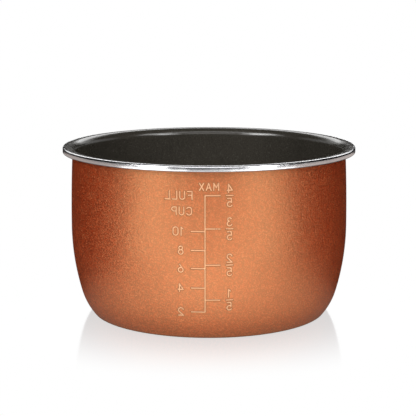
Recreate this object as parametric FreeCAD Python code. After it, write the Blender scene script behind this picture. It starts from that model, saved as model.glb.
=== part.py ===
# Inner cooking pot of a rice cooker: a pressed aluminium bowl with a turned-down rim, a dark
# non-stick lining inside and a copper-coloured coat outside, with a stamped level scale.
# Millimetres. +Z is up, z = 0 is the plane the base stands on, and the Z axis is the pot's axis.
# The level scale is on the -Y side, and reads the right way round from inside the pot.
import FreeCAD, Part
import math
import os

os.makedirs("parts", exist_ok=True)

Vec = FreeCAD.Vector

# Overall sizes
rim_radius = 120.0
pot_height = 137.7

# Outer face of the wall: a nearly straight upper stretch, a bulging lower one and a tight heel,
# three tangent arcs that meet at belly_height and at the heel's start
belly_radius = 113.7
belly_height = 72.6
upper_arc_radius = 1141.0
lower_arc_radius = 196.0
heel_arc_radius = 49.4
heel_start = math.radians(16.1)

# Layers, from the outside in
coat_thickness = 0.3
sheet_thickness = 1.5
lining_thickness = 0.4

# Rim: the sheet rolls outwards over a fillet, lies flat and turns down into a lip
rim_fillet_radius = 6.0
lip_height = 4.6
lip_thickness = 2.2
lip_top_round = 1.5
lip_bottom_round = 0.5

# Base: the coat wraps under the base's edge, and the plate inside it is turned bare
floor_height = 2.6
floor_corner_radius = 15.0
base_round_radius = 1.0
coat_edge_radius = 94.6
sensor_recess_radius = 19.0
sensor_recess_depth = 0.5

# Level scale, stamped inwards through all three layers. Distances along the wall are measured
# to the right of the pot's axis as seen from inside.
stamp_depth = 0.2
stroke_width = 1.1
scale_line_at = 3.0
cup_tick_end = 13.4
cup_number_start = 19.6
cup_levels = {"10": 87.2, "8": 72.7, "6": 58.7, "4": 43.2, "2": 23.6}
fraction_tick_end = -8.3
fraction_number_start = -18.0
fraction_number_end = -13.0
fraction_levels = {"4": 114.4, "3": 89.2, "2": 61.4, "1": 33.5}
fraction_divisor = "5"
digit_height = 6.2
fraction_gap = 2.2
words = [("FULL", 12.7, 111.4, 6.0), ("CUP", 13.1, 99.7, 5.8), ("MAX", -7.2, 118.4, 5.2)]
letter_gap = 0.38
scale_direction = -90.0
scale_sector = 44.0
stamp_reach = (0.8 * belly_radius, 1.1 * belly_radius)

# Signs on a grid one unit high, each with its width and its strokes, which are
# ("line", x0, z0, x1, z1) or ("arc", centre x, centre z, radius, first and last angle)
signs = {
    "0": (0.6, [("arc", 0.3, 0.7, 0.3, 0, 180), ("arc", 0.3, 0.3, 0.3, 180, 360),
                ("line", 0.0, 0.3, 0.0, 0.7), ("line", 0.6, 0.3, 0.6, 0.7)]),
    "1": (0.22, [("line", 0.22, 0.0, 0.22, 1.0), ("line", 0.0, 0.8, 0.22, 1.0)]),
    "2": (0.6, [("arc", 0.3, 0.7, 0.3, -35, 165), ("line", 0.0, 0.0, 0.546, 0.528),
                ("line", 0.0, 0.0, 0.6, 0.0)]),
    "3": (0.58, [("arc", 0.3, 0.28, 0.28, -160, 90), ("arc", 0.3, 0.78, 0.22, -90, 160)]),
    "4": (0.62, [("line", 0.46, 0.0, 0.46, 1.0), ("line", 0.0, 0.28, 0.46, 1.0),
                 ("line", 0.0, 0.28, 0.62, 0.28)]),
    "5": (0.57, [("line", 0.1, 1.0, 0.55, 1.0), ("line", 0.07, 0.5, 0.1, 1.0),
                 ("arc", 0.28, 0.3, 0.29, -150, 136)]),
    "6": (0.58, [("arc", 0.29, 0.29, 0.29, 0, 360), ("line", 0.02, 0.38, 0.42, 1.0)]),
    "8": (0.56, [("arc", 0.28, 0.28, 0.28, 0, 360), ("arc", 0.28, 0.78, 0.22, 0, 360)]),
    "A": (0.7, [("line", 0.0, 0.0, 0.35, 1.0), ("line", 0.35, 1.0, 0.7, 0.0),
                ("line", 0.12, 0.34, 0.58, 0.34)]),
    "C": (0.62, [("arc", 0.32, 0.68, 0.32, 25, 180), ("arc", 0.32, 0.32, 0.32, 180, 335),
                 ("line", 0.0, 0.32, 0.0, 0.68)]),
    "F": (0.55, [("line", 0.0, 0.0, 0.0, 1.0), ("line", 0.0, 1.0, 0.55, 1.0),
                 ("line", 0.0, 0.52, 0.45, 0.52)]),
    "L": (0.55, [("line", 0.0, 0.0, 0.0, 1.0), ("line", 0.0, 0.0, 0.55, 0.0)]),
    "M": (0.7, [("line", 0.0, 0.0, 0.0, 1.0), ("line", 0.0, 1.0, 0.35, 0.4),
                ("line", 0.35, 0.4, 0.7, 1.0), ("line", 0.7, 0.0, 0.7, 1.0)]),
    "P": (0.58, [("line", 0.0, 0.0, 0.0, 1.0), ("line", 0.0, 1.0, 0.32, 1.0),
                 ("line", 0.0, 0.48, 0.32, 0.48), ("arc", 0.32, 0.74, 0.26, -90, 90)]),
    "U": (0.6, [("line", 0.0, 0.3, 0.0, 1.0), ("line", 0.6, 0.3, 0.6, 1.0),
                ("arc", 0.3, 0.3, 0.3, 180, 360)]),
    "X": (0.6, [("line", 0.0, 0.0, 0.6, 1.0), ("line", 0.0, 1.0, 0.6, 0.0)]),
}

# Depths of the layers' meeting faces under the pot's outer face
sheet_outside = coat_thickness
sheet_inside = sheet_outside + sheet_thickness
wall_thickness = sheet_inside + lining_thickness

# Angles in a half section are measured downwards from the outward direction
straight_down = 0.5 * math.pi
straight_up = 1.5 * math.pi
straight_out = 2.0 * math.pi

# Centres in the half section, as (distance from the axis, height)
upper_centre = (belly_radius - upper_arc_radius, belly_height)
lower_centre = (belly_radius - lower_arc_radius, belly_height)
heel_reach = lower_arc_radius - heel_arc_radius
heel_centre = (lower_centre[0] + heel_reach * math.cos(heel_start),
               lower_centre[1] - heel_reach * math.sin(heel_start))

# The rim's fillet is tangent to the wall's inside and to the flat top of the rim
fillet_height = pot_height - rim_fillet_radius
fillet_reach = upper_arc_radius - wall_thickness + rim_fillet_radius
wall_top_angle = math.asin((fillet_height - belly_height) / fillet_reach)
fillet_centre = (upper_centre[0] + fillet_reach * math.cos(wall_top_angle), fillet_height)
fillet_wall_angle = math.pi - wall_top_angle


def round_in_heel(reach, height):
    """Centre of a round that touches the heel and a level face, and the angle it starts at."""
    angle = math.asin((heel_centre[1] - height) / reach)
    return (heel_centre[0] + reach * math.cos(angle), height), angle


corner_centre, corner_angle = round_in_heel(
    heel_arc_radius - wall_thickness - floor_corner_radius, floor_height + floor_corner_radius)
base_centre, base_angle = round_in_heel(heel_arc_radius - base_round_radius, base_round_radius)


def place(radius, height):
    """Point of the half section."""
    return Vec(radius, 0, height)


def on_circle(centre, radius, angle):
    return place(centre[0] + radius * math.cos(angle), centre[1] - radius * math.sin(angle))


def wall_arcs(depth, last_angle):
    """Arcs of the face at a depth under the outer one, from the rim's flat down to the heel."""
    return [
        (fillet_centre, rim_fillet_radius - wall_thickness + depth, straight_up, fillet_wall_angle),
        (upper_centre, upper_arc_radius - depth, -wall_top_angle, 0.0),
        (lower_centre, lower_arc_radius - depth, 0.0, heel_start),
        (heel_centre, heel_arc_radius - depth, heel_start, last_angle),
    ]


def corner_arc(depth):
    """Arc from the heel to the floor of the pot's inside."""
    radius = floor_corner_radius + wall_thickness - depth
    return corner_centre, radius, corner_angle, straight_down


def base_arc(depth):
    """Arc from the heel to the underside of the pot."""
    return base_centre, base_round_radius - depth, base_angle, straight_down


def backwards(arcs):
    return [(centre, radius, last, first) for centre, radius, first, last in reversed(arcs)]


def half_section(items):
    """Face bounded by points and arcs, joined by straight lines where they don't meet."""
    spans = []
    for item in items:
        if isinstance(item, Vec):
            spans.append((item, None, item))
            continue
        centre, radius, first, last = item
        middle = 0.5 * (first + last)
        spans.append(tuple(on_circle(centre, radius, angle) for angle in (first, middle, last)))
    edges = []
    for span, following in zip(spans, spans[1:] + spans[:1]):
        if span[1] is not None:
            edges.append(Part.Arc(*span).toShape())
        if span[2].distanceToPoint(following[0]) > 1e-7:
            edges.append(Part.makeLine(span[2], following[0]))
    return Part.Face(Part.Wire(edges))


def turned(items, start=0.0, sweep=360.0):
    """Solid made by turning a half section about the pot's axis."""
    face = half_section(items)
    face.rotate(Vec(0, 0, 0), Vec(0, 0, 1), start)
    return face.revolve(Vec(0, 0, 0), Vec(0, 0, 1), sweep)


def level_below_rim(depth):
    """Height of the rim's flat stretch at a depth under the outer face."""
    return pot_height - wall_thickness + depth


lip_foot = pot_height - lip_height
lip_inside = rim_radius - lip_thickness
sheet_lip_inside = lip_inside + coat_thickness
lining_edge_radius = rim_radius - lip_top_round


def copper_coat():
    outside = wall_arcs(0.0, base_angle) + [base_arc(0.0)]
    inside = wall_arcs(sheet_outside, base_angle) + [base_arc(sheet_outside)]
    return turned(
        [place(sheet_lip_inside, lip_foot), place(lip_inside, lip_foot),
         place(lip_inside, level_below_rim(0.0))]
        + outside
        + [place(coat_edge_radius, 0.0), place(coat_edge_radius, sheet_outside)]
        + backwards(inside)
        + [place(sheet_lip_inside, level_below_rim(sheet_outside))])


def aluminium_shell():
    outside = wall_arcs(sheet_outside, base_angle) + [base_arc(sheet_outside)]
    inside = wall_arcs(sheet_inside, corner_angle) + [corner_arc(sheet_inside)]
    lip_top = ((lining_edge_radius, pot_height - lip_top_round), lip_top_round,
               straight_up, straight_out)
    lip_bottom = ((rim_radius - lip_bottom_round, lip_foot + lip_bottom_round), lip_bottom_round,
                  0.0, straight_down)
    return turned(
        [place(sheet_lip_inside, lip_foot), place(sheet_lip_inside, level_below_rim(sheet_outside))]
        + outside
        + [place(coat_edge_radius, sheet_outside), place(coat_edge_radius, 0.0),
           place(sensor_recess_radius, 0.0), place(sensor_recess_radius, sensor_recess_depth),
           place(0.0, sensor_recess_depth), place(0.0, floor_height - lining_thickness)]
        + backwards(inside)
        + [place(lining_edge_radius, level_below_rim(sheet_inside)),
           place(lining_edge_radius, pot_height), lip_top, lip_bottom])


def nonstick_lining():
    outside = wall_arcs(sheet_inside, corner_angle) + [corner_arc(sheet_inside)]
    inside = wall_arcs(wall_thickness, corner_angle) + [corner_arc(wall_thickness)]
    return turned(
        [place(0.0, floor_height - lining_thickness)]
        + backwards(outside)
        + [place(lining_edge_radius, level_below_rim(sheet_inside)),
           place(lining_edge_radius, pot_height)]
        + inside
        + [place(0.0, floor_height)])


def straight_stroke(x0, z0, x1, z1):
    """Bar along a line, half a stroke width longer at each end."""
    start = Vec(x0, 0, z0)
    along = Vec(x1, 0, z1) - start
    length = along.Length
    along.normalize()
    half = 0.5 * stroke_width
    side = Vec(-along.z, 0, along.x) * half
    near = start - along * half
    far = start + along * (length + half)
    corners = [near - side, far - side, far + side, near + side]
    return Part.Face(Part.makePolygon(corners + corners[:1]))


def round_stroke(x, z, radius, first, last):
    """Band along an arc, whose angles are in degrees anticlockwise from the right."""
    centre = Vec(x, 0, z)
    facing = Vec(0, -1, 0)
    inner, outer = radius - 0.5 * stroke_width, radius + 0.5 * stroke_width
    if last - first == 360:
        circles = [Part.Wire(Part.makeCircle(r, centre, facing)) for r in (outer, inner)]
        return Part.Face(circles)

    def at(r, degrees):
        angle = math.radians(degrees)
        return centre + Vec(r * math.cos(angle), 0, r * math.sin(angle))

    middle = 0.5 * (first + last)
    return Part.Face(Part.Wire([
        Part.Arc(at(outer, first), at(outer, middle), at(outer, last)).toShape(),
        Part.makeLine(at(outer, last), at(inner, last)),
        Part.Arc(at(inner, last), at(inner, middle), at(inner, first)).toShape(),
        Part.makeLine(at(inner, first), at(outer, first)),
    ]))


def sign_strokes(sign, x, z, height):
    """Strokes of one sign whose lower left corner is at (x, z)."""
    strokes = []
    for kind, *numbers in signs[sign][1]:
        if kind == "line":
            x0, z0, x1, z1 = (height * number for number in numbers)
            strokes.append(straight_stroke(x + x0, z + z0, x + x1, z + z1))
        else:
            across, up, radius = (height * number for number in numbers[:3])
            strokes.append(round_stroke(x + across, z + up, radius, *numbers[3:]))
    return strokes


def word_strokes(word, x, z, height):
    strokes = []
    for sign in word:
        strokes += sign_strokes(sign, x, z, height)
        x += height * (signs[sign][0] + letter_gap)
    return strokes


def scale_strokes():
    """Every stroke of the level scale, flat, as seen from inside the pot."""
    strokes = [straight_stroke(scale_line_at, min(cup_levels.values()),
                               scale_line_at, max(fraction_levels.values()))]
    for number, level in cup_levels.items():
        strokes.append(straight_stroke(scale_line_at, level, cup_tick_end, level))
        strokes += word_strokes(number, cup_number_start, level - 0.5 * digit_height, digit_height)
    fraction_middle = 0.5 * (fraction_number_start + fraction_number_end)
    for number, level in fraction_levels.items():
        strokes.append(straight_stroke(fraction_tick_end, level, scale_line_at, level))
        strokes.append(straight_stroke(fraction_number_start, level, fraction_number_end, level))
        for sign, foot in ((number, level + fraction_gap),
                           (fraction_divisor, level - fraction_gap - digit_height)):
            start = fraction_middle - 0.5 * digit_height * signs[sign][0]
            strokes += sign_strokes(sign, start, foot, digit_height)
    for word, start, foot, height in words:
        strokes += word_strokes(word, start, foot, height)
    return strokes


def stamp_prisms():
    """The scale's strokes carried through the wall on the -Y side."""
    near, far = stamp_reach
    prisms = []
    for stroke in scale_strokes():
        on_wall = stroke.mirror(Vec(0, 0, 0), Vec(1, 0, 0))
        on_wall.translate(Vec(0, -near, 0))
        prisms.append(on_wall.extrude(Vec(0, near - far, 0)))
    return prisms[0].multiFuse(prisms[1:])


def stamped_band(prisms, outside, inside):
    """The strokes' share of the wall between two depths under the outer face."""
    arcs = [wall_arcs(depth, heel_start)[1:3] for depth in (outside, inside)]
    sector_start = scale_direction - 0.5 * scale_sector
    sector = turned(arcs[0] + backwards(arcs[1]), sector_start, scale_sector)
    return prisms.common(sector)


def stamped(layer, prisms, outside, inside):
    """A layer between two depths, set inwards by the stamp's depth along the strokes."""
    overlap = 0.5 * stamp_depth
    pushed_in = layer.fuse(stamped_band(prisms, inside - overlap, inside + stamp_depth))
    return pushed_in.cut(stamped_band(prisms, outside - overlap, outside + stamp_depth))


prisms = stamp_prisms()
layers = {
    "copper_coat": stamped(copper_coat(), prisms, 0.0, sheet_outside),
    "aluminium_shell": stamped(aluminium_shell(), prisms, sheet_outside, sheet_inside),
    "nonstick_lining": stamped(nonstick_lining(), prisms, sheet_inside, wall_thickness),
}
for name, layer in layers.items():
    solid = layer.Solids[0]
    print(name, "solids", len(layer.Solids), "valid", solid.isValid(),
          "volume %.0f mm3" % solid.Volume)
    solid.exportStep("parts/%s.step" % name)
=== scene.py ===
import math

import bmesh
import bpy
import numpy as np
from mathutils import Matrix, Vector


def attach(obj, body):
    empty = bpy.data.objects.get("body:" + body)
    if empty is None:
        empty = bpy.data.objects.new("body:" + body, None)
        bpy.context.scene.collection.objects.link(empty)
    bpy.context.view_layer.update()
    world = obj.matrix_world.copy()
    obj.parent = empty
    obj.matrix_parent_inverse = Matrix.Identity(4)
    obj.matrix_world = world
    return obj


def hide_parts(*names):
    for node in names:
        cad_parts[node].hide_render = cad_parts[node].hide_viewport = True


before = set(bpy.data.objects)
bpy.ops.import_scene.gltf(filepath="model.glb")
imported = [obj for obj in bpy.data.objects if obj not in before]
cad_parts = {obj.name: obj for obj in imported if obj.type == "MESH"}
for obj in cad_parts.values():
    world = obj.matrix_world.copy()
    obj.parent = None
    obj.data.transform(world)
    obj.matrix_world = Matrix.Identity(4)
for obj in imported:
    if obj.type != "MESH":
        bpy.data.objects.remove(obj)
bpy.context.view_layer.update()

# Inner pot of a rice cooker: aluminium bowl, dark non-stick inside, copper lacquer outside.
# Shapes are in millimetres and angles in degrees. The materials' grain, patch, line and wear sizes
# and the studio are in metres. The stamped scale is at the front, -Y.
mm = 0.001
weldDistance = 1e-7    # metres
farAway = 1e3
white = (1.0, 1.0, 1.0, 1.0)

pot = {
    "rimRadius": 120.0,
    "height": 137.7,
    "bellyRadius": 113.7,
    "bellyHeight": 72.6,
    "upperArc": 1141.0,
    "lowerArc": 196.0,
    "heelArc": 49.4,
    "heelStart": 16.1,
    "coatDepth": 0.3,      # outer face to bare metal
    "jointDepth": 0.65,    # outer face to the hidden joint of coat and metal, under the grooves
    "metalDepth": 1.8,     # outer face to the back of the lining
    "wall": 2.2,
    "rimFillet": 6.0,
    "lipHeight": 4.6,
    "lipThickness": 2.2,
    "lipTopRound": 1.5,
    "lipBottomRound": 0.5,
    "floorHeight": 2.6,
    "floorCorner": 15.0,
    "baseRound": 1.0,
    "coatEdge": 94.6,
    "edgeChamfer": 0.1,    # broken edge between coat and base plate
    "turns": 360,          # columns round the pot
    "hiddenSpacing": (7.0, 2.0),    # rows of the joints inside the wall, and in their rim round
}

# angles run downwards from straight out
down, up, out = 0.5 * math.pi, 1.5 * math.pi, 2.0 * math.pi

# centres of the wall's arcs
heelAngle = math.radians(pot["heelStart"])
upperCentre = (pot["bellyRadius"] - pot["upperArc"], pot["bellyHeight"])
lowerCentre = (pot["bellyRadius"] - pot["lowerArc"], pot["bellyHeight"])
heelShift = pot["lowerArc"] - pot["heelArc"]
heelCentre = (lowerCentre[0] + heelShift * math.cos(heelAngle),
              lowerCentre[1] - heelShift * math.sin(heelAngle))

filletShift = pot["upperArc"] - pot["wall"] + pot["rimFillet"]
topAngle = math.asin((pot["height"] - pot["rimFillet"] - pot["bellyHeight"]) / filletShift)
filletCentre = (upperCentre[0] + filletShift * math.cos(topAngle),
                pot["height"] - pot["rimFillet"])


def roundInHeel(reach, height):
    # centre of a round tucked into the heel, and the angle where it leaves the heel
    angle = math.asin((heelCentre[1] - height) / reach)
    return (heelCentre[0] + reach * math.cos(angle), height), angle


cornerCentre, cornerAngle = roundInHeel(pot["heelArc"] - pot["wall"] - pot["floorCorner"],
                                        pot["floorHeight"] + pot["floorCorner"])
baseCentre, baseAngle = roundInHeel(pot["heelArc"] - pot["baseRound"], pot["baseRound"])


def arcRun(centre, radius, first, last, spacing):
    count = max(2, round(radius * abs(last - first) / spacing))
    angles = [first + (last - first) * step / count for step in range(count + 1)]
    return [(centre[0] + radius * math.cos(a), centre[1] - radius * math.sin(a)) for a in angles]


def wallRun(depth, lastAngle, spacing, fine):
    # from the flat of the rim down to the heel, at a depth under the outer face
    filletRadius = pot["rimFillet"] - pot["wall"] + depth
    return (arcRun(filletCentre, filletRadius, up, math.pi - topAngle, fine)
            + arcRun(upperCentre, pot["upperArc"] - depth, -topAngle, 0.0, spacing)[1:]
            + arcRun(lowerCentre, pot["lowerArc"] - depth, 0.0, heelAngle, spacing)[1:]
            + arcRun(heelCentre, pot["heelArc"] - depth, heelAngle, lastAngle, spacing)[1:])


def cornerRun(depth, spacing):
    radius = pot["floorCorner"] + pot["wall"] - depth
    return arcRun(cornerCentre, radius, cornerAngle, down, spacing)[1:]


def baseRun(depth, spacing):
    return arcRun(baseCentre, pot["baseRound"] - depth, baseAngle, down, spacing)[1:]


def wallRadius(depth, heights):
    # distance of the wall from the axis at given heights, above the heel's round
    heights = np.asarray(heights)
    rise = heights - pot["bellyHeight"]
    upper = upperCentre[0] + np.sqrt((pot["upperArc"] - depth) ** 2 - rise ** 2)
    lower = lowerCentre[0] + np.sqrt((pot["lowerArc"] - depth) ** 2 - rise ** 2)
    return np.where(rise > 0.0, upper, lower)


def spunSolid(outline, turns, isLoop):
    # the outline turned once about Z; its ends are on the axis unless it is a loop
    bm = bmesh.new()
    verts = [bm.verts.new((radius * mm, 0.0, height * mm)) for radius, height in outline]
    edges = [bm.edges.new(pair) for pair in zip(verts, verts[1:])]
    if isLoop:
        edges.append(bm.edges.new((verts[-1], verts[0])))
    bmesh.ops.spin(bm, geom=verts + edges, cent=(0, 0, 0), axis=(0, 0, 1), dvec=(0, 0, 0),
                   angle=2.0 * math.pi, steps=turns, use_merge=True, use_duplicate=False)
    bmesh.ops.remove_doubles(bm, verts=bm.verts, dist=weldDistance)
    bmesh.ops.recalc_face_normals(bm, faces=bm.faces)
    return bm


def finishPiece(bm, name, material, node):
    bm.normal_update()
    mesh = bpy.data.meshes.new(name)
    bm.to_mesh(mesh)
    bm.free()
    mesh.shade_smooth()
    piece = bpy.data.objects.new(name, mesh)
    bpy.context.scene.collection.objects.link(piece)
    mesh.materials.append(material)
    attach(piece, "root")
    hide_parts(node)
    triangles = sum(len(polygon.vertices) - 2 for polygon in mesh.polygons)
    print(name, "has", triangles, "triangles")


# stamped level scale: "across" runs to the right as seen from inside the pot, so it is -X
scale = {
    "strokeWidth": 1.15,
    "softness": 0.42,          # width of a stroke's sloping flank
    "markReach": 1.5,          # how far from a stroke the nearStroke attribute reaches
    "lineAcross": 3.0,
    "cupTickEnd": 13.4,
    "cupNumbers": 19.6,
    "cups": {"10": 87.2, "8": 72.7, "6": 58.7, "4": 43.2, "2": 23.6},
    "fractionTickEnd": -8.3,
    "fractionBar": (-18.0, -13.0),
    "fractions": {"4": 114.4, "3": 89.2, "2": 61.4, "1": 33.5},
    "divisor": "5",
    "digitHeight": 6.2,
    "fractionGap": 2.2,
    "words": [("FULL", 12.7, 111.4, 6.0), ("CUP", 13.1, 99.7, 5.8), ("MAX", -7.2, 118.4, 5.2)],
    "letterGap": 0.38,
    "cuts": 7,                 # extra cuts in the wall's faces under the strokes
    "cutReach": 2.5,           # faces whose centres are this near a stroke are cut
    "wallTolerance": 0.12,     # a point this near the wall's face is on it
    "heights": (19.0, 127.0),  # the whole scale lies between them
}

# width and strokes of each sign on a grid one unit high:
# ("line", x0, z0, x1, z1) or ("arc", centre x, centre z, radius, first and last angle)
signs = {
    "0": (0.6, [("arc", 0.3, 0.7, 0.3, 0, 180), ("arc", 0.3, 0.3, 0.3, 180, 360),
                ("line", 0.0, 0.3, 0.0, 0.7), ("line", 0.6, 0.3, 0.6, 0.7)]),
    "1": (0.22, [("line", 0.22, 0.0, 0.22, 1.0), ("line", 0.0, 0.8, 0.22, 1.0)]),
    "2": (0.6, [("arc", 0.3, 0.7, 0.3, -35, 165), ("line", 0.0, 0.0, 0.546, 0.528),
                ("line", 0.0, 0.0, 0.6, 0.0)]),
    "3": (0.58, [("arc", 0.3, 0.28, 0.28, -160, 90), ("arc", 0.3, 0.78, 0.22, -90, 160)]),
    "4": (0.62, [("line", 0.46, 0.0, 0.46, 1.0), ("line", 0.0, 0.28, 0.46, 1.0),
                 ("line", 0.0, 0.28, 0.62, 0.28)]),
    "5": (0.57, [("line", 0.1, 1.0, 0.55, 1.0), ("line", 0.07, 0.5, 0.1, 1.0),
                 ("arc", 0.28, 0.3, 0.29, -150, 136)]),
    "6": (0.58, [("arc", 0.29, 0.29, 0.29, 0, 360), ("line", 0.02, 0.38, 0.42, 1.0)]),
    "8": (0.56, [("arc", 0.28, 0.28, 0.28, 0, 360), ("arc", 0.28, 0.78, 0.22, 0, 360)]),
    "A": (0.7, [("line", 0.0, 0.0, 0.35, 1.0), ("line", 0.35, 1.0, 0.7, 0.0),
                ("line", 0.12, 0.34, 0.58, 0.34)]),
    "C": (0.62, [("arc", 0.32, 0.68, 0.32, 25, 180), ("arc", 0.32, 0.32, 0.32, 180, 335),
                 ("line", 0.0, 0.32, 0.0, 0.68)]),
    "F": (0.55, [("line", 0.0, 0.0, 0.0, 1.0), ("line", 0.0, 1.0, 0.55, 1.0),
                 ("line", 0.0, 0.52, 0.45, 0.52)]),
    "L": (0.55, [("line", 0.0, 0.0, 0.0, 1.0), ("line", 0.0, 0.0, 0.55, 0.0)]),
    "M": (0.7, [("line", 0.0, 0.0, 0.0, 1.0), ("line", 0.0, 1.0, 0.35, 0.4),
                ("line", 0.35, 0.4, 0.7, 1.0), ("line", 0.7, 0.0, 0.7, 1.0)]),
    "P": (0.58, [("line", 0.0, 0.0, 0.0, 1.0), ("line", 0.0, 1.0, 0.32, 1.0),
                 ("line", 0.0, 0.48, 0.32, 0.48), ("arc", 0.32, 0.74, 0.26, -90, 90)]),
    "U": (0.6, [("line", 0.0, 0.3, 0.0, 1.0), ("line", 0.6, 0.3, 0.6, 1.0),
                ("arc", 0.3, 0.3, 0.3, 180, 360)]),
    "X": (0.6, [("line", 0.0, 0.0, 0.6, 1.0), ("line", 0.0, 1.0, 0.6, 0.0)]),
}


def signStrokes(sign, across, foot, height):
    strokes = []
    for kind, x, z, *rest in signs[sign][1]:
        start = (across + height * x, foot + height * z)
        if kind == "line":
            strokes.append(("line", *start, across + height * rest[0], foot + height * rest[1]))
        else:
            strokes.append(("arc", *start, height * rest[0], rest[1], rest[2]))
    return strokes


def wordStrokes(word, across, foot, height):
    strokes = []
    for sign in word:
        strokes += signStrokes(sign, across, foot, height)
        across += height * (signs[sign][0] + scale["letterGap"])
    return strokes


def scaleStrokes():
    line, digit = scale["lineAcross"], scale["digitHeight"]
    strokes = [("line", line, min(scale["cups"].values()), line, max(scale["fractions"].values()))]
    for number, level in scale["cups"].items():
        strokes.append(("line", line, level, scale["cupTickEnd"], level))
        strokes += wordStrokes(number, scale["cupNumbers"], level - 0.5 * digit, digit)
    barStart, barEnd = scale["fractionBar"]
    for number, level in scale["fractions"].items():
        strokes.append(("line", line, level, scale["fractionTickEnd"], level))
        strokes.append(("line", barStart, level, barEnd, level))
        above, below = level + scale["fractionGap"], level - scale["fractionGap"] - digit
        for sign, foot in ((number, above), (scale["divisor"], below)):
            start = 0.5 * (barStart + barEnd) - 0.5 * digit * signs[sign][0]
            strokes += signStrokes(sign, start, foot, digit)
    for word, start, foot, height in scale["words"]:
        strokes += wordStrokes(word, start, foot, height)
    return strokes


def distanceToStroke(points, stroke):
    if stroke[0] == "line":
        start, end = np.array(stroke[1:3]), np.array(stroke[3:5])
        along = end - start
        share = np.clip(((points - start) @ along) / (along @ along), 0.0, 1.0)
        return np.linalg.norm(points - start - share[:, None] * along, axis=1)
    centre, radius, first, last = np.array(stroke[1:3]), stroke[3], stroke[4], stroke[5]
    offset = points - centre
    angle = (np.degrees(np.arctan2(offset[:, 1], offset[:, 0])) - first) % 360.0
    toBand = np.abs(np.linalg.norm(offset, axis=1) - radius)
    turns = [math.radians(a) for a in (first, last)]
    ends = [centre + radius * np.array((math.cos(turn), math.sin(turn))) for turn in turns]
    toEnds = np.minimum(*(np.linalg.norm(points - end, axis=1) for end in ends))
    return np.where(angle <= last - first, toBand, toEnds)


levelScale = scaleStrokes()


def distanceToScale(coords):
    # coords are metres; only the -Y side carries the scale
    points = np.stack((-coords[:, 0], coords[:, 2]), axis=1) / mm
    nearest = np.full(len(points), farAway)
    for stroke in levelScale:
        nearest = np.minimum(nearest, distanceToStroke(points, stroke))
    return np.where(coords[:, 1] < 0.0, nearest, farAway)


def stampScale(bm, depth, pushedIn):
    # cuts the wall finer under the strokes and sets those faces inwards; "nearStroke" is 1 in the
    # middle of a stroke and 0 at markReach from it
    faceCentres = np.array([face.calc_center_median() for face in bm.faces])
    radii = np.hypot(faceCentres[:, 0], faceCentres[:, 1]) / mm
    offWall = np.abs(radii - wallRadius(depth, faceCentres[:, 2] / mm))
    near = (offWall < scale["wallTolerance"]) & (distanceToScale(faceCentres) < scale["cutReach"])
    bm.faces.ensure_lookup_table()
    edges = {edge for index in np.flatnonzero(near) for edge in bm.faces[index].edges}
    bmesh.ops.subdivide_edges(bm, edges=list(edges), cuts=scale["cuts"], use_grid_fill=True)
    coords = np.array([vert.co for vert in bm.verts])
    heights = coords[:, 2] / mm
    radii = np.hypot(coords[:, 0], coords[:, 1]) / mm
    wall = wallRadius(depth, heights)
    lowest, highest = scale["heights"]
    inFront = (heights > lowest) & (heights < highest) & (coords[:, 1] < 0.0)
    inside = inFront & (np.abs(radii - wall) < scale["wallTolerance"])
    distance = distanceToScale(coords)
    half, soft = 0.5 * scale["strokeWidth"], 0.5 * scale["softness"]
    share = np.clip((half + soft - distance) / (2.0 * soft), 0.0, 1.0)
    share = share * share * (3.0 - 2.0 * share)
    target = wall - pushedIn * share
    nearness = np.clip(1.0 - distance / scale["markReach"], 0.0, 1.0)
    nearStroke = bm.verts.layers.float.new("nearStroke")
    for vert, moves, radius, wanted, amount in zip(bm.verts, inside, radii, target, nearness):
        if moves:
            vert.co.x *= wanted / radius
            vert.co.y *= wanted / radius
            vert[nearStroke] = amount


# looks that the materials share
shared = {
    "flakeHeight": 0.35,               # flakes in the grain's height, next to the lumps
    "bandStretch": (0.12, 0.12, 1.0),  # bands are the tool lines' noise, about eight times as wide
    "smudgeRange": (0.5, 0.75),
    "speckRange": (0.52, 0.62),
}


def newGroup(name, inputs, outputs):
    group = bpy.data.node_groups.new(name, "ShaderNodeTree")
    for socketName, kind, value in inputs:
        socket = group.interface.new_socket(socketName, in_out="INPUT",
                                            socket_type="NodeSocket" + kind)
        if value is not None:
            socket.default_value = value
    for socketName, kind in outputs:
        group.interface.new_socket(socketName, in_out="OUTPUT", socket_type="NodeSocket" + kind)
    return group, group.nodes.new("NodeGroupInput"), group.nodes.new("NodeGroupOutput")


def addNode(tree, kind, inputs=None, **settings):
    node = tree.nodes.new("ShaderNode" + kind)
    for key, value in settings.items():
        setattr(node, key, value)
    for key, value in (inputs or {}).items():
        if isinstance(value, bpy.types.NodeSocket):
            tree.links.new(value, node.inputs[key])
        else:
            node.inputs[key].default_value = value
    return node


def addMath(tree, operation, first, second=0.0, clamp=False):
    node = addNode(tree, "Math", {0: first, 1: second}, operation=operation, use_clamp=clamp)
    return node.outputs[0]


def addRange(tree, value, low, high, toLow=0.0, toHigh=1.0):
    return addNode(tree, "MapRange", {0: value, 1: low, 2: high, 3: toLow, 4: toHigh}).outputs[0]


def addMix(tree, share, first, second):
    # a mix of colours has its two colours at inputs 6 and 7 and its result at output 2
    node = addNode(tree, "Mix", data_type="RGBA")
    for index, value in ((0, share), (6, first), (7, second)):
        if isinstance(value, bpy.types.NodeSocket):
            tree.links.new(value, node.inputs[index])
        else:
            node.inputs[index].default_value = value
    return node.outputs[2]


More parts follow.
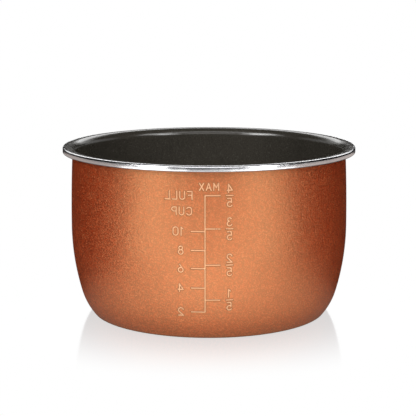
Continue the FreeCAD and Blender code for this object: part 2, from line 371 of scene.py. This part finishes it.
def makeGrainGroup():
    # fine sprayed grain: soft lumps with small flakes in them
    group, given, result = newGroup(
        "sprayGrain",
        [("Place", "Vector", None), ("Grain Size", "Float", 0.001),
         ("Flake Size", "Float", 0.0005)],
        [("Lumps", "Float"), ("Flakes", "Float"), ("Height", "Float")])
    lumpScale = addMath(group, "DIVIDE", 1.0, given.outputs["Grain Size"])
    flakeScale = addMath(group, "DIVIDE", 1.0, given.outputs["Flake Size"])
    lumps = addNode(group, "TexNoise", {"Vector": given.outputs["Place"], "Scale": lumpScale,
                                        "Detail": 2.0, "Roughness": 0.55})
    flakes = addNode(group, "TexVoronoi", {"Vector": given.outputs["Place"],
                                           "Scale": flakeScale})
    flakeShade = addNode(group, "SeparateColor", {"Color": flakes.outputs["Color"]})
    height = addMath(group, "ADD", lumps.outputs["Fac"],
                     addMath(group, "MULTIPLY", flakeShade.outputs[0], shared["flakeHeight"]))
    group.links.new(lumps.outputs["Fac"], result.inputs["Lumps"])
    group.links.new(flakeShade.outputs[0], result.inputs["Flakes"])
    group.links.new(height, result.inputs["Height"])
    return group


def makeLatheGroup():
    # fine lines left by a turning tool: they run round the axis on the lip and on the base
    group, given, result = newGroup(
        "latheLines",
        [("Place", "Vector", None), ("Spacing", "Float", 0.0003), ("Wander", "Float", 20.0)],
        [("Lines", "Float"), ("Bands", "Float")])
    parts = addNode(group, "SeparateXYZ", {0: given.outputs["Place"]})
    squares = [addMath(group, "POWER", parts.outputs[axis], 2.0) for axis in (0, 1)]
    across = addMath(group, "SQRT", addMath(group, "ADD", *squares))
    slow = addMath(group, "MULTIPLY", addMath(group, "ADD", parts.outputs[0], parts.outputs[1]),
                   given.outputs["Wander"])
    lineSpot = addNode(group, "CombineXYZ", {
        0: addMath(group, "DIVIDE", across, given.outputs["Spacing"]),
        1: addMath(group, "DIVIDE", parts.outputs[2], given.outputs["Spacing"]),
        2: slow})
    lines = addNode(group, "TexNoise", {"Vector": lineSpot.outputs[0], "Scale": 1.0,
                                        "Detail": 3.0, "Roughness": 0.6})
    bandSpot = addNode(group, "VectorMath", {0: lineSpot.outputs[0], 1: shared["bandStretch"]},
                       operation="MULTIPLY")
    bands = addNode(group, "TexNoise", {"Vector": bandSpot.outputs[0], "Scale": 1.0,
                                        "Detail": 1.0})
    group.links.new(lines.outputs["Fac"], result.inputs["Lines"])
    group.links.new(bands.outputs["Fac"], result.inputs["Bands"])
    return group


def makeHandlingGroup():
    # broad uneven patches and a few soft smudges from handling
    group, given, result = newGroup(
        "handling",
        [("Place", "Vector", None), ("Patch Size", "Float", 0.05),
         ("Smudge Size", "Float", 0.012)],
        [("Patches", "Float"), ("Smudges", "Float")])
    patchScale = addMath(group, "DIVIDE", 1.0, given.outputs["Patch Size"])
    smudgeScale = addMath(group, "DIVIDE", 1.0, given.outputs["Smudge Size"])
    patches = addNode(group, "TexNoise", {"Vector": given.outputs["Place"], "Scale": patchScale,
                                          "Detail": 2.0, "Roughness": 0.5})
    smudges = addNode(group, "TexNoise", {"Vector": given.outputs["Place"], "Scale": smudgeScale,
                                          "Detail": 3.0, "Roughness": 0.6, "Distortion": 0.6})
    group.links.new(patches.outputs["Fac"], result.inputs["Patches"])
    smudged = addRange(group, smudges.outputs["Fac"], *shared["smudgeRange"])
    group.links.new(smudged, result.inputs["Smudges"])
    return group


def makeEdgeWearGroup():
    # worn specks within a band of heights, for edges that rub
    group, given, result = newGroup(
        "edgeWear",
        [("Place", "Vector", None), ("Edge Height", "Float", 0.0), ("Reach", "Float", 0.001),
         ("Speck Size", "Float", 0.0008)],
        [("Worn", "Float")])
    parts = addNode(group, "SeparateXYZ", {0: given.outputs["Place"]})
    above = addMath(group, "SUBTRACT", parts.outputs[2], given.outputs["Edge Height"])
    away = addMath(group, "DIVIDE", addMath(group, "ABSOLUTE", above), given.outputs["Reach"])
    closeness = addMath(group, "SUBTRACT", 1.0, away, clamp=True)
    speckScale = addMath(group, "DIVIDE", 1.0, given.outputs["Speck Size"])
    specks = addNode(group, "TexNoise", {"Vector": given.outputs["Place"], "Scale": speckScale,
                                         "Detail": 4.0, "Roughness": 0.65})
    worn = addRange(group, specks.outputs["Fac"], *shared["speckRange"])
    worn = addMath(group, "MULTIPLY", closeness, worn)
    group.links.new(worn, result.inputs["Worn"])
    return group


sprayGrain = makeGrainGroup()
latheLines = makeLatheGroup()
handling = makeHandlingGroup()
edgeWear = makeEdgeWearGroup()


def useGroup(tree, group, place, **values):
    node = tree.nodes.new("ShaderNodeGroup")
    node.node_tree = group
    tree.links.new(place, node.inputs["Place"])
    for key, value in values.items():
        node.inputs[key].default_value = value
    return node


def emptyMaterial(name):
    material = bpy.data.materials.new(name)
    material.use_nodes = True
    material.node_tree.nodes.clear()
    return material, material.node_tree


def newMaterial(name):
    material, tree = emptyMaterial(name)
    output = tree.nodes.new("ShaderNodeOutputMaterial")
    shader = tree.nodes.new("ShaderNodeBsdfPrincipled")
    tree.links.new(shader.outputs[0], output.inputs["Surface"])
    place = tree.nodes.new("ShaderNodeTexCoord").outputs["Object"]
    return material, tree, shader, place


def setShader(shader, **values):
    for key, value in values.items():
        shader.inputs[key].default_value = value


print("shared looks ready")


# copper lacquer coat
coat = {
    "rowSpacing": 2.0,
    "fineSpacing": 0.5,        # rows in the round under the rim
    "baseSpacing": 0.25,
    "hiddenBaseSpacing": 0.5,
    "lipChamfer": 0.08,        # at the lip's foot and, wider, where the lip meets the rim
    "lipCorner": 0.3,
    "stampDepth": 0.48,
    "pigment": (0.135, 0.009, 0.001, 1.0),
    "pigmentLight": (0.30, 0.023, 0.002, 1.0),
    "flakeTint": (1.0, 0.56, 0.25, 1.0),
    "flakeIor": 3.0,
    "roughness": (0.36, 0.46),
    "lumpShare": 0.9,                        # grain: how much lumps, flakes and patches count
    "flakeShare": 0.35,
    "grainShare": 0.8,
    "patchShare": 0.3,
    "shadeRange": (0.37, 0.54),              # grain that goes from darkest to lightest pigment
    "strokeHighlight": (0.80, 0.42, 0.26, 1.0),    # lighter colour in the strokes' middle: a painted highlight
    "strokeHighlightShare": 0.55,
    "strokeHighlightRange": (0.62, 0.76),            # of the nearStroke attribute
    "strokeGloss": 0.9,
    "strokeEdgeShade": (0.03, 0.004, 0.001, 1.0),     # darker colour along the strokes' edges: painted shade
    "strokeEdgeShadeShare": 0.9,
    "strokeEdgeShadeRange": (0.36, 0.48),
    "dullShare": 0.45,                       # roughness that the painted shade along the strokes' edges and at the foot adds
    # a few flakes in a lighter colour: painted glints
    "flakeGlint": (0.72, 0.30, 0.12, 1.0),
    "flakeGlintShare": 0.16,
    "flakeGlintRange": (0.72, 0.95),
    "foot": (0.025, 0.014, 0.013, 1.0),      # dark band round the foot where the pot meets the table: painted shade
    "footShadeReach": (0.35, 1.3),
    "footShadeShare": 0.9,
    "wornShare": 0.4,
    "wearHeight": 0.0003,
    "wearReach": 0.0012,
    "grainSize": 0.0015,
    "flakeSize": 0.0007,
    "grainDepth": 0.00028,
    "bumpStrength": 0.9,
}


def makeCoatMaterial():
    material, tree, shader, place = newMaterial("copperLacquer")
    grain = useGroup(tree, sprayGrain, place, **{"Grain Size": coat["grainSize"],
                                                 "Flake Size": coat["flakeSize"]})
    touched = useGroup(tree, handling, place)
    wear = useGroup(tree, edgeWear, place, **{"Edge Height": coat["wearHeight"],
                                              "Reach": coat["wearReach"]})

    lumps = addMath(tree, "MULTIPLY", grain.outputs["Lumps"], coat["lumpShare"])
    flakes = addMath(tree, "SUBTRACT", grain.outputs["Flakes"], 0.5)
    flakes = addMath(tree, "MULTIPLY", flakes, coat["flakeShare"])
    shade = addRange(tree, addMath(tree, "ADD", lumps, flakes), *coat["shadeRange"])
    shade = addMath(tree, "MULTIPLY", shade, coat["grainShare"])
    patches = addMath(tree, "MULTIPLY", touched.outputs["Patches"], coat["patchShare"])
    shade = addMath(tree, "ADD", shade, patches, clamp=True)
    colour = addMix(tree, shade, coat["pigment"], coat["pigmentLight"])
    # painted glints: the brightest flakes are mixed to a lighter colour
    flakeGlints = addRange(tree, grain.outputs["Flakes"], *coat["flakeGlintRange"])
    flakeGlints = addMath(tree, "MULTIPLY", flakeGlints, coat["flakeGlintShare"])
    colour = addMix(tree, flakeGlints, colour, coat["flakeGlint"])

    height = addNode(tree, "SeparateXYZ", {0: place}).outputs[2]
    # painted shade round the foot, broken by worn specks
    near, far = coat["footShadeReach"]
    foot = addRange(tree, height, near * mm, far * mm, coat["footShadeShare"], 0.0)
    worn = addMath(tree, "MULTIPLY", wear.outputs["Worn"], coat["wornShare"])
    foot = addMath(tree, "SUBTRACT", foot, worn, clamp=True)
    colour = addMix(tree, foot, colour, coat["foot"])

    stroke = addNode(tree, "Attribute", attribute_name="nearStroke").outputs["Fac"]
    # painted shade: the edges of each stroke are mixed to a near-black colour
    strokeEdgeShade = addRange(tree, stroke, *coat["strokeEdgeShadeRange"], 0.0, coat["strokeEdgeShadeShare"])
    colour = addMix(tree, strokeEdgeShade, colour, coat["strokeEdgeShade"])
    # painted highlight: the middle of each stroke is mixed to a lighter colour
    strokeHighlight = addRange(tree, stroke, *coat["strokeHighlightRange"], 0.0, coat["strokeHighlightShare"])
    colour = addMix(tree, strokeHighlight, colour, coat["strokeHighlight"])

    rough = addMath(tree, "ADD", grain.outputs["Flakes"], touched.outputs["Smudges"])
    rough = addRange(tree, rough, 0.0, 2.0, *coat["roughness"])
    dull = addMath(tree, "MULTIPLY", addMath(tree, "MAXIMUM", strokeEdgeShade, foot), coat["dullShare"])
    rough = addMath(tree, "ADD", rough, dull)
    gloss = addMath(tree, "MULTIPLY", strokeHighlight, coat["strokeGloss"])
    rough = addMath(tree, "SUBTRACT", rough, gloss)
    bump = addNode(tree, "Bump", {"Height": grain.outputs["Height"],
                                  "Strength": coat["bumpStrength"],
                                  "Distance": coat["grainDepth"]})
    tree.links.new(colour, shader.inputs["Base Color"])
    tree.links.new(rough, shader.inputs["Roughness"])
    tree.links.new(bump.outputs[0], shader.inputs["Normal"])
    setShader(shader, **{"IOR": coat["flakeIor"], "Specular Tint": coat["flakeTint"]})
    return material


def makeCoat():
    lipFoot = pot["height"] - pot["lipHeight"]
    lipInside = pot["rimRadius"] - pot["lipThickness"]
    metal, joint = pot["coatDepth"], pot["jointDepth"]
    under = pot["height"] - pot["wall"]
    chamfer, corner = coat["lipChamfer"], coat["lipCorner"]
    outline = [(lipInside + metal, lipFoot), (lipInside + chamfer, lipFoot),
               (lipInside, lipFoot + chamfer), (lipInside, under - corner),
               (lipInside - corner, under)]
    outline += wallRun(0.0, baseAngle, coat["rowSpacing"], coat["fineSpacing"])
    outline += baseRun(0.0, coat["baseSpacing"])
    edge, chamfer = pot["coatEdge"], pot["edgeChamfer"]
    outline += [(edge + chamfer, 0.0), (edge, chamfer), (edge, metal)]
    hidden = wallRun(joint, baseAngle, *pot["hiddenSpacing"])
    hidden += baseRun(joint, coat["hiddenBaseSpacing"])
    outline += hidden[::-1]
    outline += [(lipInside + metal, under + joint)]
    bm = spunSolid(outline, pot["turns"], True)
    stampScale(bm, 0.0, coat["stampDepth"])
    finishPiece(bm, "copperCoat", makeCoatMaterial(), "copper_coat")


makeCoat()


# bare aluminium: lip, base and the wall's core
shell = {
    "rowSpacing": 4.0,
    "fineSpacing": 1.0,        # rows in the round under the rim
    "baseSpacing": 0.4,
    "cornerSpacing": 3.0,
    "lipSpacing": (0.12, 0.22),    # along the lip's lower and upper round
    "sensorRadius": 19.0,
    "sensorSlope": 0.4,
    "sensorDepth": 0.5,
    "toolGrooves": (40.0, 66.0, 93.2),
    "grooveWidth": 0.8,
    "grooveFlat": 0.3,         # share of a groove's width that is flat
    "grooveDepth": 0.12,
    "metal": (0.80, 0.80, 0.815, 1.0),
    "metalDark": (0.62, 0.62, 0.64, 1.0),
    "roughness": (0.16, 0.30),
    "lipShade": (0.05, 0.018, 0.012, 1.0),   # dark band at the lip's foot, over the gap to the coat: painted shade
    "lipShadeReach": (0.35, 0.95),
    "lipShadeBelow": 0.5,                    # it starts this far under the lip's foot
    "lipShadeShare": 0.85,
    "lipShadeDull": 0.25,
    "linesShare": 0.7,                   # how much lines and bands count in the metal's shade
    "bandsShare": 0.5,
    "shadeRange": (0.35, 0.75),
    "smudgeShare": 0.6,
    "roughRange": (0.3, 1.2),            # of bands and smudges, from smooth to rough
    "patchSize": 0.03,
    "smudgeSize": 0.009,
    "lineSpacing": 0.00022,
    "lineDepth": 0.00002,
    "bumpStrength": 0.5,
}


def makeShellMaterial():
    material, tree, shader, place = newMaterial("turnedAluminium")
    lathe = useGroup(tree, latheLines, place, **{"Spacing": shell["lineSpacing"]})
    touched = useGroup(tree, handling, place, **{"Patch Size": shell["patchSize"],
                                                 "Smudge Size": shell["smudgeSize"]})
    lines = addMath(tree, "MULTIPLY", lathe.outputs["Lines"], shell["linesShare"])
    bands = addMath(tree, "MULTIPLY", lathe.outputs["Bands"], shell["bandsShare"])
    shade = addRange(tree, addMath(tree, "ADD", lines, bands), *shell["shadeRange"])
    colour = addMix(tree, shade, shell["metalDark"], shell["metal"])

    # painted shade along the lip's foot, fading up its lower round
    height = addNode(tree, "SeparateXYZ", {0: place}).outputs[2]
    foot = pot["height"] - pot["lipHeight"]
    near, far = shell["lipShadeReach"]
    aboveFoot = addRange(tree, height, (foot - shell["lipShadeBelow"]) * mm, foot * mm)
    fading = addRange(tree, height, (foot + near) * mm, (foot + far) * mm, shell["lipShadeShare"], 0.0)
    lipShade = addMath(tree, "MULTIPLY", aboveFoot, fading)
    colour = addMix(tree, lipShade, colour, shell["lipShade"])

    smudges = addMath(tree, "MULTIPLY", touched.outputs["Smudges"], shell["smudgeShare"])
    rough = addMath(tree, "ADD", lathe.outputs["Bands"], smudges)
    rough = addRange(tree, rough, *shell["roughRange"], *shell["roughness"])
    rough = addMath(tree, "ADD", rough, addMath(tree, "MULTIPLY", lipShade, shell["lipShadeDull"]))
    bump = addNode(tree, "Bump", {"Height": lathe.outputs["Lines"],
                                  "Strength": shell["bumpStrength"],
                                  "Distance": shell["lineDepth"]})
    tree.links.new(colour, shader.inputs["Base Color"])
    tree.links.new(rough, shader.inputs["Roughness"])
    tree.links.new(bump.outputs[0], shader.inputs["Normal"])
    setShader(shader, Metallic=1.0)
    return material


def makeShell():
    lipFoot = pot["height"] - pot["lipHeight"]
    lipInside = pot["rimRadius"] - pot["lipThickness"] + pot["coatDepth"]
    metal, joint, back = pot["coatDepth"], pot["jointDepth"], pot["metalDepth"]
    under = pot["height"] - pot["wall"] + joint
    sensor, sensorDepth, slope = shell["sensorRadius"], shell["sensorDepth"], shell["sensorSlope"]
    edge, chamfer = pot["coatEdge"], pot["edgeChamfer"]
    outline = [(0.0, sensorDepth), (sensor - slope, sensorDepth),
               (sensor, sensorDepth - chamfer), (sensor + slope, 0.0)]
    half, flat, deep = 0.5 * shell["grooveWidth"], shell["grooveFlat"], shell["grooveDepth"]
    for groove in shell["toolGrooves"]:
        outline += [(groove - half, 0.0), (groove - flat * half, deep),
                    (groove + flat * half, deep), (groove + half, 0.0)]
    outline += [(edge - chamfer, 0.0), (edge, chamfer), (edge, metal)]
    outer = wallRun(joint, baseAngle, shell["rowSpacing"], shell["fineSpacing"])
    outer += baseRun(joint, shell["baseSpacing"])
    outline += outer[::-1]
    outline += [(lipInside, under), (lipInside, lipFoot)]
    lower, upper = pot["lipBottomRound"], pot["lipTopRound"]
    lowerSpacing, upperSpacing = shell["lipSpacing"]
    lipCentre = (pot["rimRadius"] - lower, lipFoot + lower)
    outline += arcRun(lipCentre, lower, down, 0.0, lowerSpacing)
    topCentre = (pot["rimRadius"] - upper, pot["height"] - upper)
    outline += arcRun(topCentre, upper, out, up, upperSpacing)
    outline += [(pot["rimRadius"] - upper, pot["height"] - pot["wall"] + back)]
    outline += wallRun(back, cornerAngle, shell["rowSpacing"], shell["fineSpacing"])
    outline += cornerRun(back, shell["cornerSpacing"])
    outline += [(0.0, pot["floorHeight"] - pot["wall"] + back)]
    bm = spunSolid(outline, pot["turns"], False)
    finishPiece(bm, "aluminiumShell", makeShellMaterial(), "aluminium_shell")


makeShell()


# non-stick lining
lining = {
    "rowSpacing": 2.0,
    "fineSpacing": 0.45,       # rows in the round at the rim
    "cornerSpacing": 1.2,
    "hiddenCornerSpacing": 4.0,
    "edgeChamfer": (0.15, 0.05),   # across and down, at its outer edge on the rim
    "floorRings": (70.0, 50.0, 30.0, 12.0, 0.0),
    "stampHeight": 0.35,
    "dark": (0.026, 0.023, 0.0185, 1.0),
    "light": (0.058, 0.052, 0.042, 1.0),
    "patchShare": 0.5,
    "shadeRange": (0.45, 1.0),
    "fleck": (0.16, 0.15, 0.135, 1.0),
    "fleckShare": 0.2,
    "fleckRange": (0.93, 1.0),
    "roughness": (0.16, 0.25),
    "roughRange": (0.2, 1.4),      # of lines and smudges, from smooth to rough
    "patchSize": 0.06,
    "smudgeSize": 0.02,
    "lineSpacing": 0.0009,
    "grainSize": 0.0009,
    "flakeSize": 0.0008,
    "grainDepth": 0.00003,
    "bumpStrength": 0.5,
}


def makeLiningMaterial():
    material, tree, shader, place = newMaterial("nonstickLining")
    grain = useGroup(tree, sprayGrain, place, **{"Grain Size": lining["grainSize"],
                                                 "Flake Size": lining["flakeSize"]})
    touched = useGroup(tree, handling, place, **{"Patch Size": lining["patchSize"],
                                                 "Smudge Size": lining["smudgeSize"]})
    lathe = useGroup(tree, latheLines, place, **{"Spacing": lining["lineSpacing"]})
    patches = addMath(tree, "MULTIPLY", touched.outputs["Patches"], lining["patchShare"])
    shade = addMath(tree, "ADD", grain.outputs["Lumps"], patches)
    shade = addRange(tree, shade, *lining["shadeRange"])
    colour = addMix(tree, shade, lining["dark"], lining["light"])
    flecks = addRange(tree, grain.outputs["Flakes"], *lining["fleckRange"])
    flecks = addMath(tree, "MULTIPLY", flecks, lining["fleckShare"])
    colour = addMix(tree, flecks, colour, lining["fleck"])
    rough = addMath(tree, "ADD", lathe.outputs["Lines"], touched.outputs["Smudges"])
    rough = addRange(tree, rough, *lining["roughRange"], *lining["roughness"])
    bump = addNode(tree, "Bump", {"Height": grain.outputs["Height"],
                                  "Strength": lining["bumpStrength"],
                                  "Distance": lining["grainDepth"]})
    tree.links.new(colour, shader.inputs["Base Color"])
    tree.links.new(rough, shader.inputs["Roughness"])
    tree.links.new(bump.outputs[0], shader.inputs["Normal"])
    return material


def makeLining():
    edge, top = pot["rimRadius"] - pot["lipTopRound"], pot["height"]
    back, wall = pot["metalDepth"], pot["wall"]
    rear = wallRun(back, cornerAngle, *pot["hiddenSpacing"])
    rear += cornerRun(back, lining["hiddenCornerSpacing"])
    outline = [(0.0, pot["floorHeight"] - wall + back)] + rear[::-1]
    across, drop = lining["edgeChamfer"]
    outline += [(edge, top - wall + back), (edge, top - drop), (edge - across, top)]
    outline += wallRun(wall, cornerAngle, lining["rowSpacing"], lining["fineSpacing"])
    outline += cornerRun(wall, lining["cornerSpacing"])
    outline += [(radius, pot["floorHeight"]) for radius in lining["floorRings"]]
    bm = spunSolid(outline, pot["turns"], False)
    stampScale(bm, wall, lining["stampHeight"])
    finishPiece(bm, "nonstickLining", makeLiningMaterial(), "nonstick_lining")


makeLining()
print("pot ready")


# floor, backdrop, light and camera
studio = {
    "floorHalf": 14.0,
    "floorWhite": (0.04, 0.04, 0.04, 1.0),
    "mirrorShare": 0.34,             # share of mirror reflection at the foot of the pot
    "mirrorReach": (0.085, 0.205),   # it fades out between these distances from the axis
    "mirrorRoughness": 0.10,
    "backdropPlace": (0.0, 3.0, 0.8),
    "backdropHalf": (1.3, 0.8),
    "worldAround": 0.004,
    # a pool of light painted on the table as a glow in front of the pot, with a painted shadow
    # where it is weaker next to the pot's foot
    "poolMiddle": (0.0, -0.26, 0.0),
    "poolReach": (0.08, 0.325),
    "poolStrength": 2.0,
    "poolShadowReach": (0.088, 0.15),
    "poolShadowShare": 0.25,
    "aim": (0.0, 0.0, 0.07),         # what the softboxes point at
    # name, direction (+ to the right of the camera), height, distance, size, watts
    "softboxes": [
        ("frontHigh", 0.0, 1.3, 1.0, (2.2, 0.6), 9.0),
        ("frontMiddle", 0.0, 0.6, 1.3, (1.1, 0.45), 2.9),
        ("leftMiddle", -46.0, 0.66, 1.3, (0.4, 0.5), 7.6),
        ("rightMiddle", 43.0, 0.66, 1.3, (0.4, 0.5), 5.9),
        ("leftNear", -40.0, 0.2, 0.7, (0.25, 0.4), 0.55),
        ("rightNear", 38.0, 0.2, 0.7, (0.25, 0.4), 0.58),
        ("behind", 180.0, 0.9, 1.4, (1.2, 0.6), 7.0),
        ("leftBehind", -150.0, 0.7, 1.5, (0.5, 0.5), 0.9),
        ("rightBehind", 150.0, 0.7, 1.5, (0.5, 0.5), 0.9),
        ("leftLow", -65.0, 0.22, 1.3, (0.32, 0.44), 0.12),
        ("leftSide", -85.0, 0.22, 1.3, (0.32, 0.44), 0.03),
        ("rightSide", 85.0, 0.22, 1.3, (0.32, 0.44), 0.04),
    ],
    # panels lying beside the pot that light only the bare metal: direction and watts
    "rimPanels": [("leftPanel", -102.0, 2.2), ("rightPanel", 102.0, 2.7)],
    "rimPanelPlace": (0.9, 0.006, (1.2, 1.2)),    # distance, height and size
    "rimTint": (1.0, 0.87, 0.81),
    # softboxes that show only in the lining's sheen
    "sheenBoxes": [
        ("leftGleam", -58.0, 0.9, 1.2, (0.5, 0.5), 9.0),
        ("rightGleam", 60.0, 0.9, 1.2, (0.5, 0.5), 4.0),
        ("leftSheen", -118.0, 0.35, 1.6, (1.4, 0.9), 2.6),
        ("rightSheen", 118.0, 0.35, 1.6, (1.4, 0.9), 3.2),
    ],
    # low lights on the table that shine up at the wall: direction and watts
    "cards": [(-50.0, 0.42), (-25.0, 0.36), (0.0, 0.15), (25.0, 0.36), (50.0, 0.34)],
    "cardPlace": (0.42, 0.01, (0.2, 0.22)),       # distance, height and size
    "cardAim": (0.75, 0.25),                      # share of the distance, and rise
}

cameraView = {
    "distance": 1.101,
    "height": 0.2859,
    "pitch": 10.36,
    "sensor": 36.0,
    "lens": 116.54,
    "shiftX": -0.0024,
    "shiftY": -0.0003,
    "clip": (0.05, 60.0),
}


def stagePlane(name, size, place, upright, material):
    bm = bmesh.new()
    bmesh.ops.create_grid(bm, x_segments=2, y_segments=2, size=1.0)
    bmesh.ops.scale(bm, vec=(*size, 1.0), verts=bm.verts)
    if upright:
        bmesh.ops.rotate(bm, matrix=Matrix.Rotation(0.5 * math.pi, 3, "X"), verts=bm.verts)
    bmesh.ops.translate(bm, vec=place, verts=bm.verts)
    mesh = bpy.data.meshes.new(name)
    bm.to_mesh(mesh)
    bm.free()
    mesh.materials.append(material)
    plane = bpy.data.objects.new(name, mesh)
    bpy.context.scene.collection.objects.link(plane)
    return plane


def finishStageMaterial(tree, shader):
    output = addNode(tree, "OutputMaterial")
    tree.links.new(shader.outputs[0], output.inputs["Surface"])


def makeFloorMaterial():
    # the camera sees clean white paper with a fading reflection; everything else is lit by a dark
    # matt table with a painted pool of light glowing on it
    material, tree = emptyMaterial("whiteTable")
    place = addNode(tree, "TexCoord").outputs["Object"]
    fromAxis = addNode(tree, "VectorMath", {0: place}, operation="LENGTH").outputs["Value"]
    near, far = studio["mirrorReach"]
    share = addNode(tree, "MapRange", {0: fromAxis, 1: near, 2: far, 3: studio["mirrorShare"],
                                       4: 0.0}, interpolation_type="SMOOTHSTEP").outputs[0]
    paper = addNode(tree, "Emission", {"Color": white, "Strength": 1.0})
    mirror = addNode(tree, "BsdfGlossy", {"Color": white, "Roughness": studio["mirrorRoughness"]})
    seen = addNode(tree, "MixShader", {0: share, 1: paper.outputs[0], 2: mirror.outputs[0]})
    matt = addNode(tree, "BsdfDiffuse", {"Color": studio["floorWhite"]})
    # painted pool of light: the table glows in front of the pot, with painted shadow next to its
    # foot
    fromPool = addNode(tree, "VectorMath", {0: place, 1: studio["poolMiddle"]},
                       operation="DISTANCE").outputs["Value"]
    pool = addRange(tree, fromPool, *studio["poolReach"], studio["poolStrength"], 0.0)
    footShadow = addRange(tree, fromAxis, *studio["poolShadowReach"], studio["poolShadowShare"], 1.0)
    pool = addMath(tree, "MULTIPLY", pool, footShadow)
    poolGlow = addNode(tree, "Emission", {"Color": white, "Strength": pool})
    lit = addNode(tree, "AddShader", {0: matt.outputs[0], 1: poolGlow.outputs[0]})
    path = addNode(tree, "LightPath")
    both = addNode(tree, "MixShader", {0: path.outputs["Is Camera Ray"], 1: lit.outputs[0],
                                       2: seen.outputs[0]})
    finishStageMaterial(tree, both)
    return material


def makeBackdropMaterial():
    material, tree = emptyMaterial("whitePaper")
    glow = addNode(tree, "Emission", {"Color": white, "Strength": 1.0})
    finishStageMaterial(tree, glow)
    return material


def makeStage():
    half = studio["floorHalf"]
    floor = stagePlane("studioFloor", (half, half), (0.0, 0.0, 0.0), False, makeFloorMaterial())
    backdrop = stagePlane("studioBackdrop", studio["backdropHalf"], studio["backdropPlace"], True,
                          makeBackdropMaterial())
    # the backdrop's glow reaches the table only
    table = bpy.data.collections.new("tableOnly")
    table.objects.link(floor)
    backdrop.light_linking.receiver_collection = table
    backdrop.visible_diffuse = False


def addSoftbox(name, place, size, watts, target):
    light = bpy.data.lights.new(name, "AREA")
    light.shape = "RECTANGLE"
    light.size, light.size_y = size
    light.energy = watts
    lamp = bpy.data.objects.new(name, light)
    bpy.context.scene.collection.objects.link(lamp)
    lamp.location = place
    lamp.rotation_euler = (Vector(target) - Vector(place)).to_track_quat("-Z", "Y").to_euler()
    lamp.visible_camera = False
    return lamp


def aroundPot(direction, distance):
    angle = math.radians(direction)
    return distance * math.sin(angle), -distance * math.cos(angle)


def onlyFor(name, pieceName):
    # a collection that lights can be linked to
    receivers = bpy.data.collections.new(name)
    receivers.objects.link(bpy.data.objects[pieceName])
    return receivers


def makeStudio():
    makeStage()
    for name, direction, height, distance, size, watts in studio["softboxes"]:
        place = (*aroundPot(direction, distance), height)
        addSoftbox(name, place, size, watts, studio["aim"])
    rimPieces = onlyFor("rimPieces", "aluminiumShell")
    liningPiece = onlyFor("liningPiece", "nonstickLining")
    for name, direction, height, distance, size, watts in studio["sheenBoxes"]:
        place = (*aroundPot(direction, distance), height)
        box = addSoftbox(name, place, size, watts, studio["aim"])
        box.visible_diffuse = False
        box.light_linking.receiver_collection = liningPiece
    distance, height, size = studio["rimPanelPlace"]
    for name, direction, watts in studio["rimPanels"]:
        x, y = aroundPot(direction, distance)
        panel = addSoftbox(name, (x, y, height), size, watts, (x, y, 1.0))
        panel.data.color = studio["rimTint"]
        panel.light_linking.receiver_collection = rimPieces
    distance, height, size = studio["cardPlace"]
    share, rise = studio["cardAim"]
    for index, (direction, watts) in enumerate(studio["cards"]):
        x, y = aroundPot(direction, distance)
        addSoftbox("card%d" % index, (x, y, height), size, watts,
                   (share * x, share * y, height + rise))
    world = bpy.data.worlds.new("studioRoom")
    bpy.context.scene.world = world
    world.use_nodes = True
    tree = world.node_tree
    background = tree.nodes["Background"]
    path = addNode(tree, "LightPath")
    level = addRange(tree, path.outputs["Is Camera Ray"], 0.0, 1.0, studio["worldAround"], 1.0)
    tree.links.new(level, background.inputs["Strength"])
    background.inputs["Color"].default_value = white


def makeCamera():
    data = bpy.data.cameras.new("productCamera")
    data.sensor_width = cameraView["sensor"]
    data.lens = cameraView["lens"]
    data.shift_x = cameraView["shiftX"]
    data.shift_y = cameraView["shiftY"]
    data.clip_start, data.clip_end = cameraView["clip"]
    camera = bpy.data.objects.new("productCamera", data)
    bpy.context.scene.collection.objects.link(camera)
    camera.location = (0.0, -cameraView["distance"], cameraView["height"])
    camera.rotation_euler = (math.radians(90.0 - cameraView["pitch"]), 0.0, 0.0)
    bpy.context.scene.camera = camera


makeStudio()
makeCamera()
bpy.context.scene.view_settings.view_transform = "Standard"
print("studio ready")
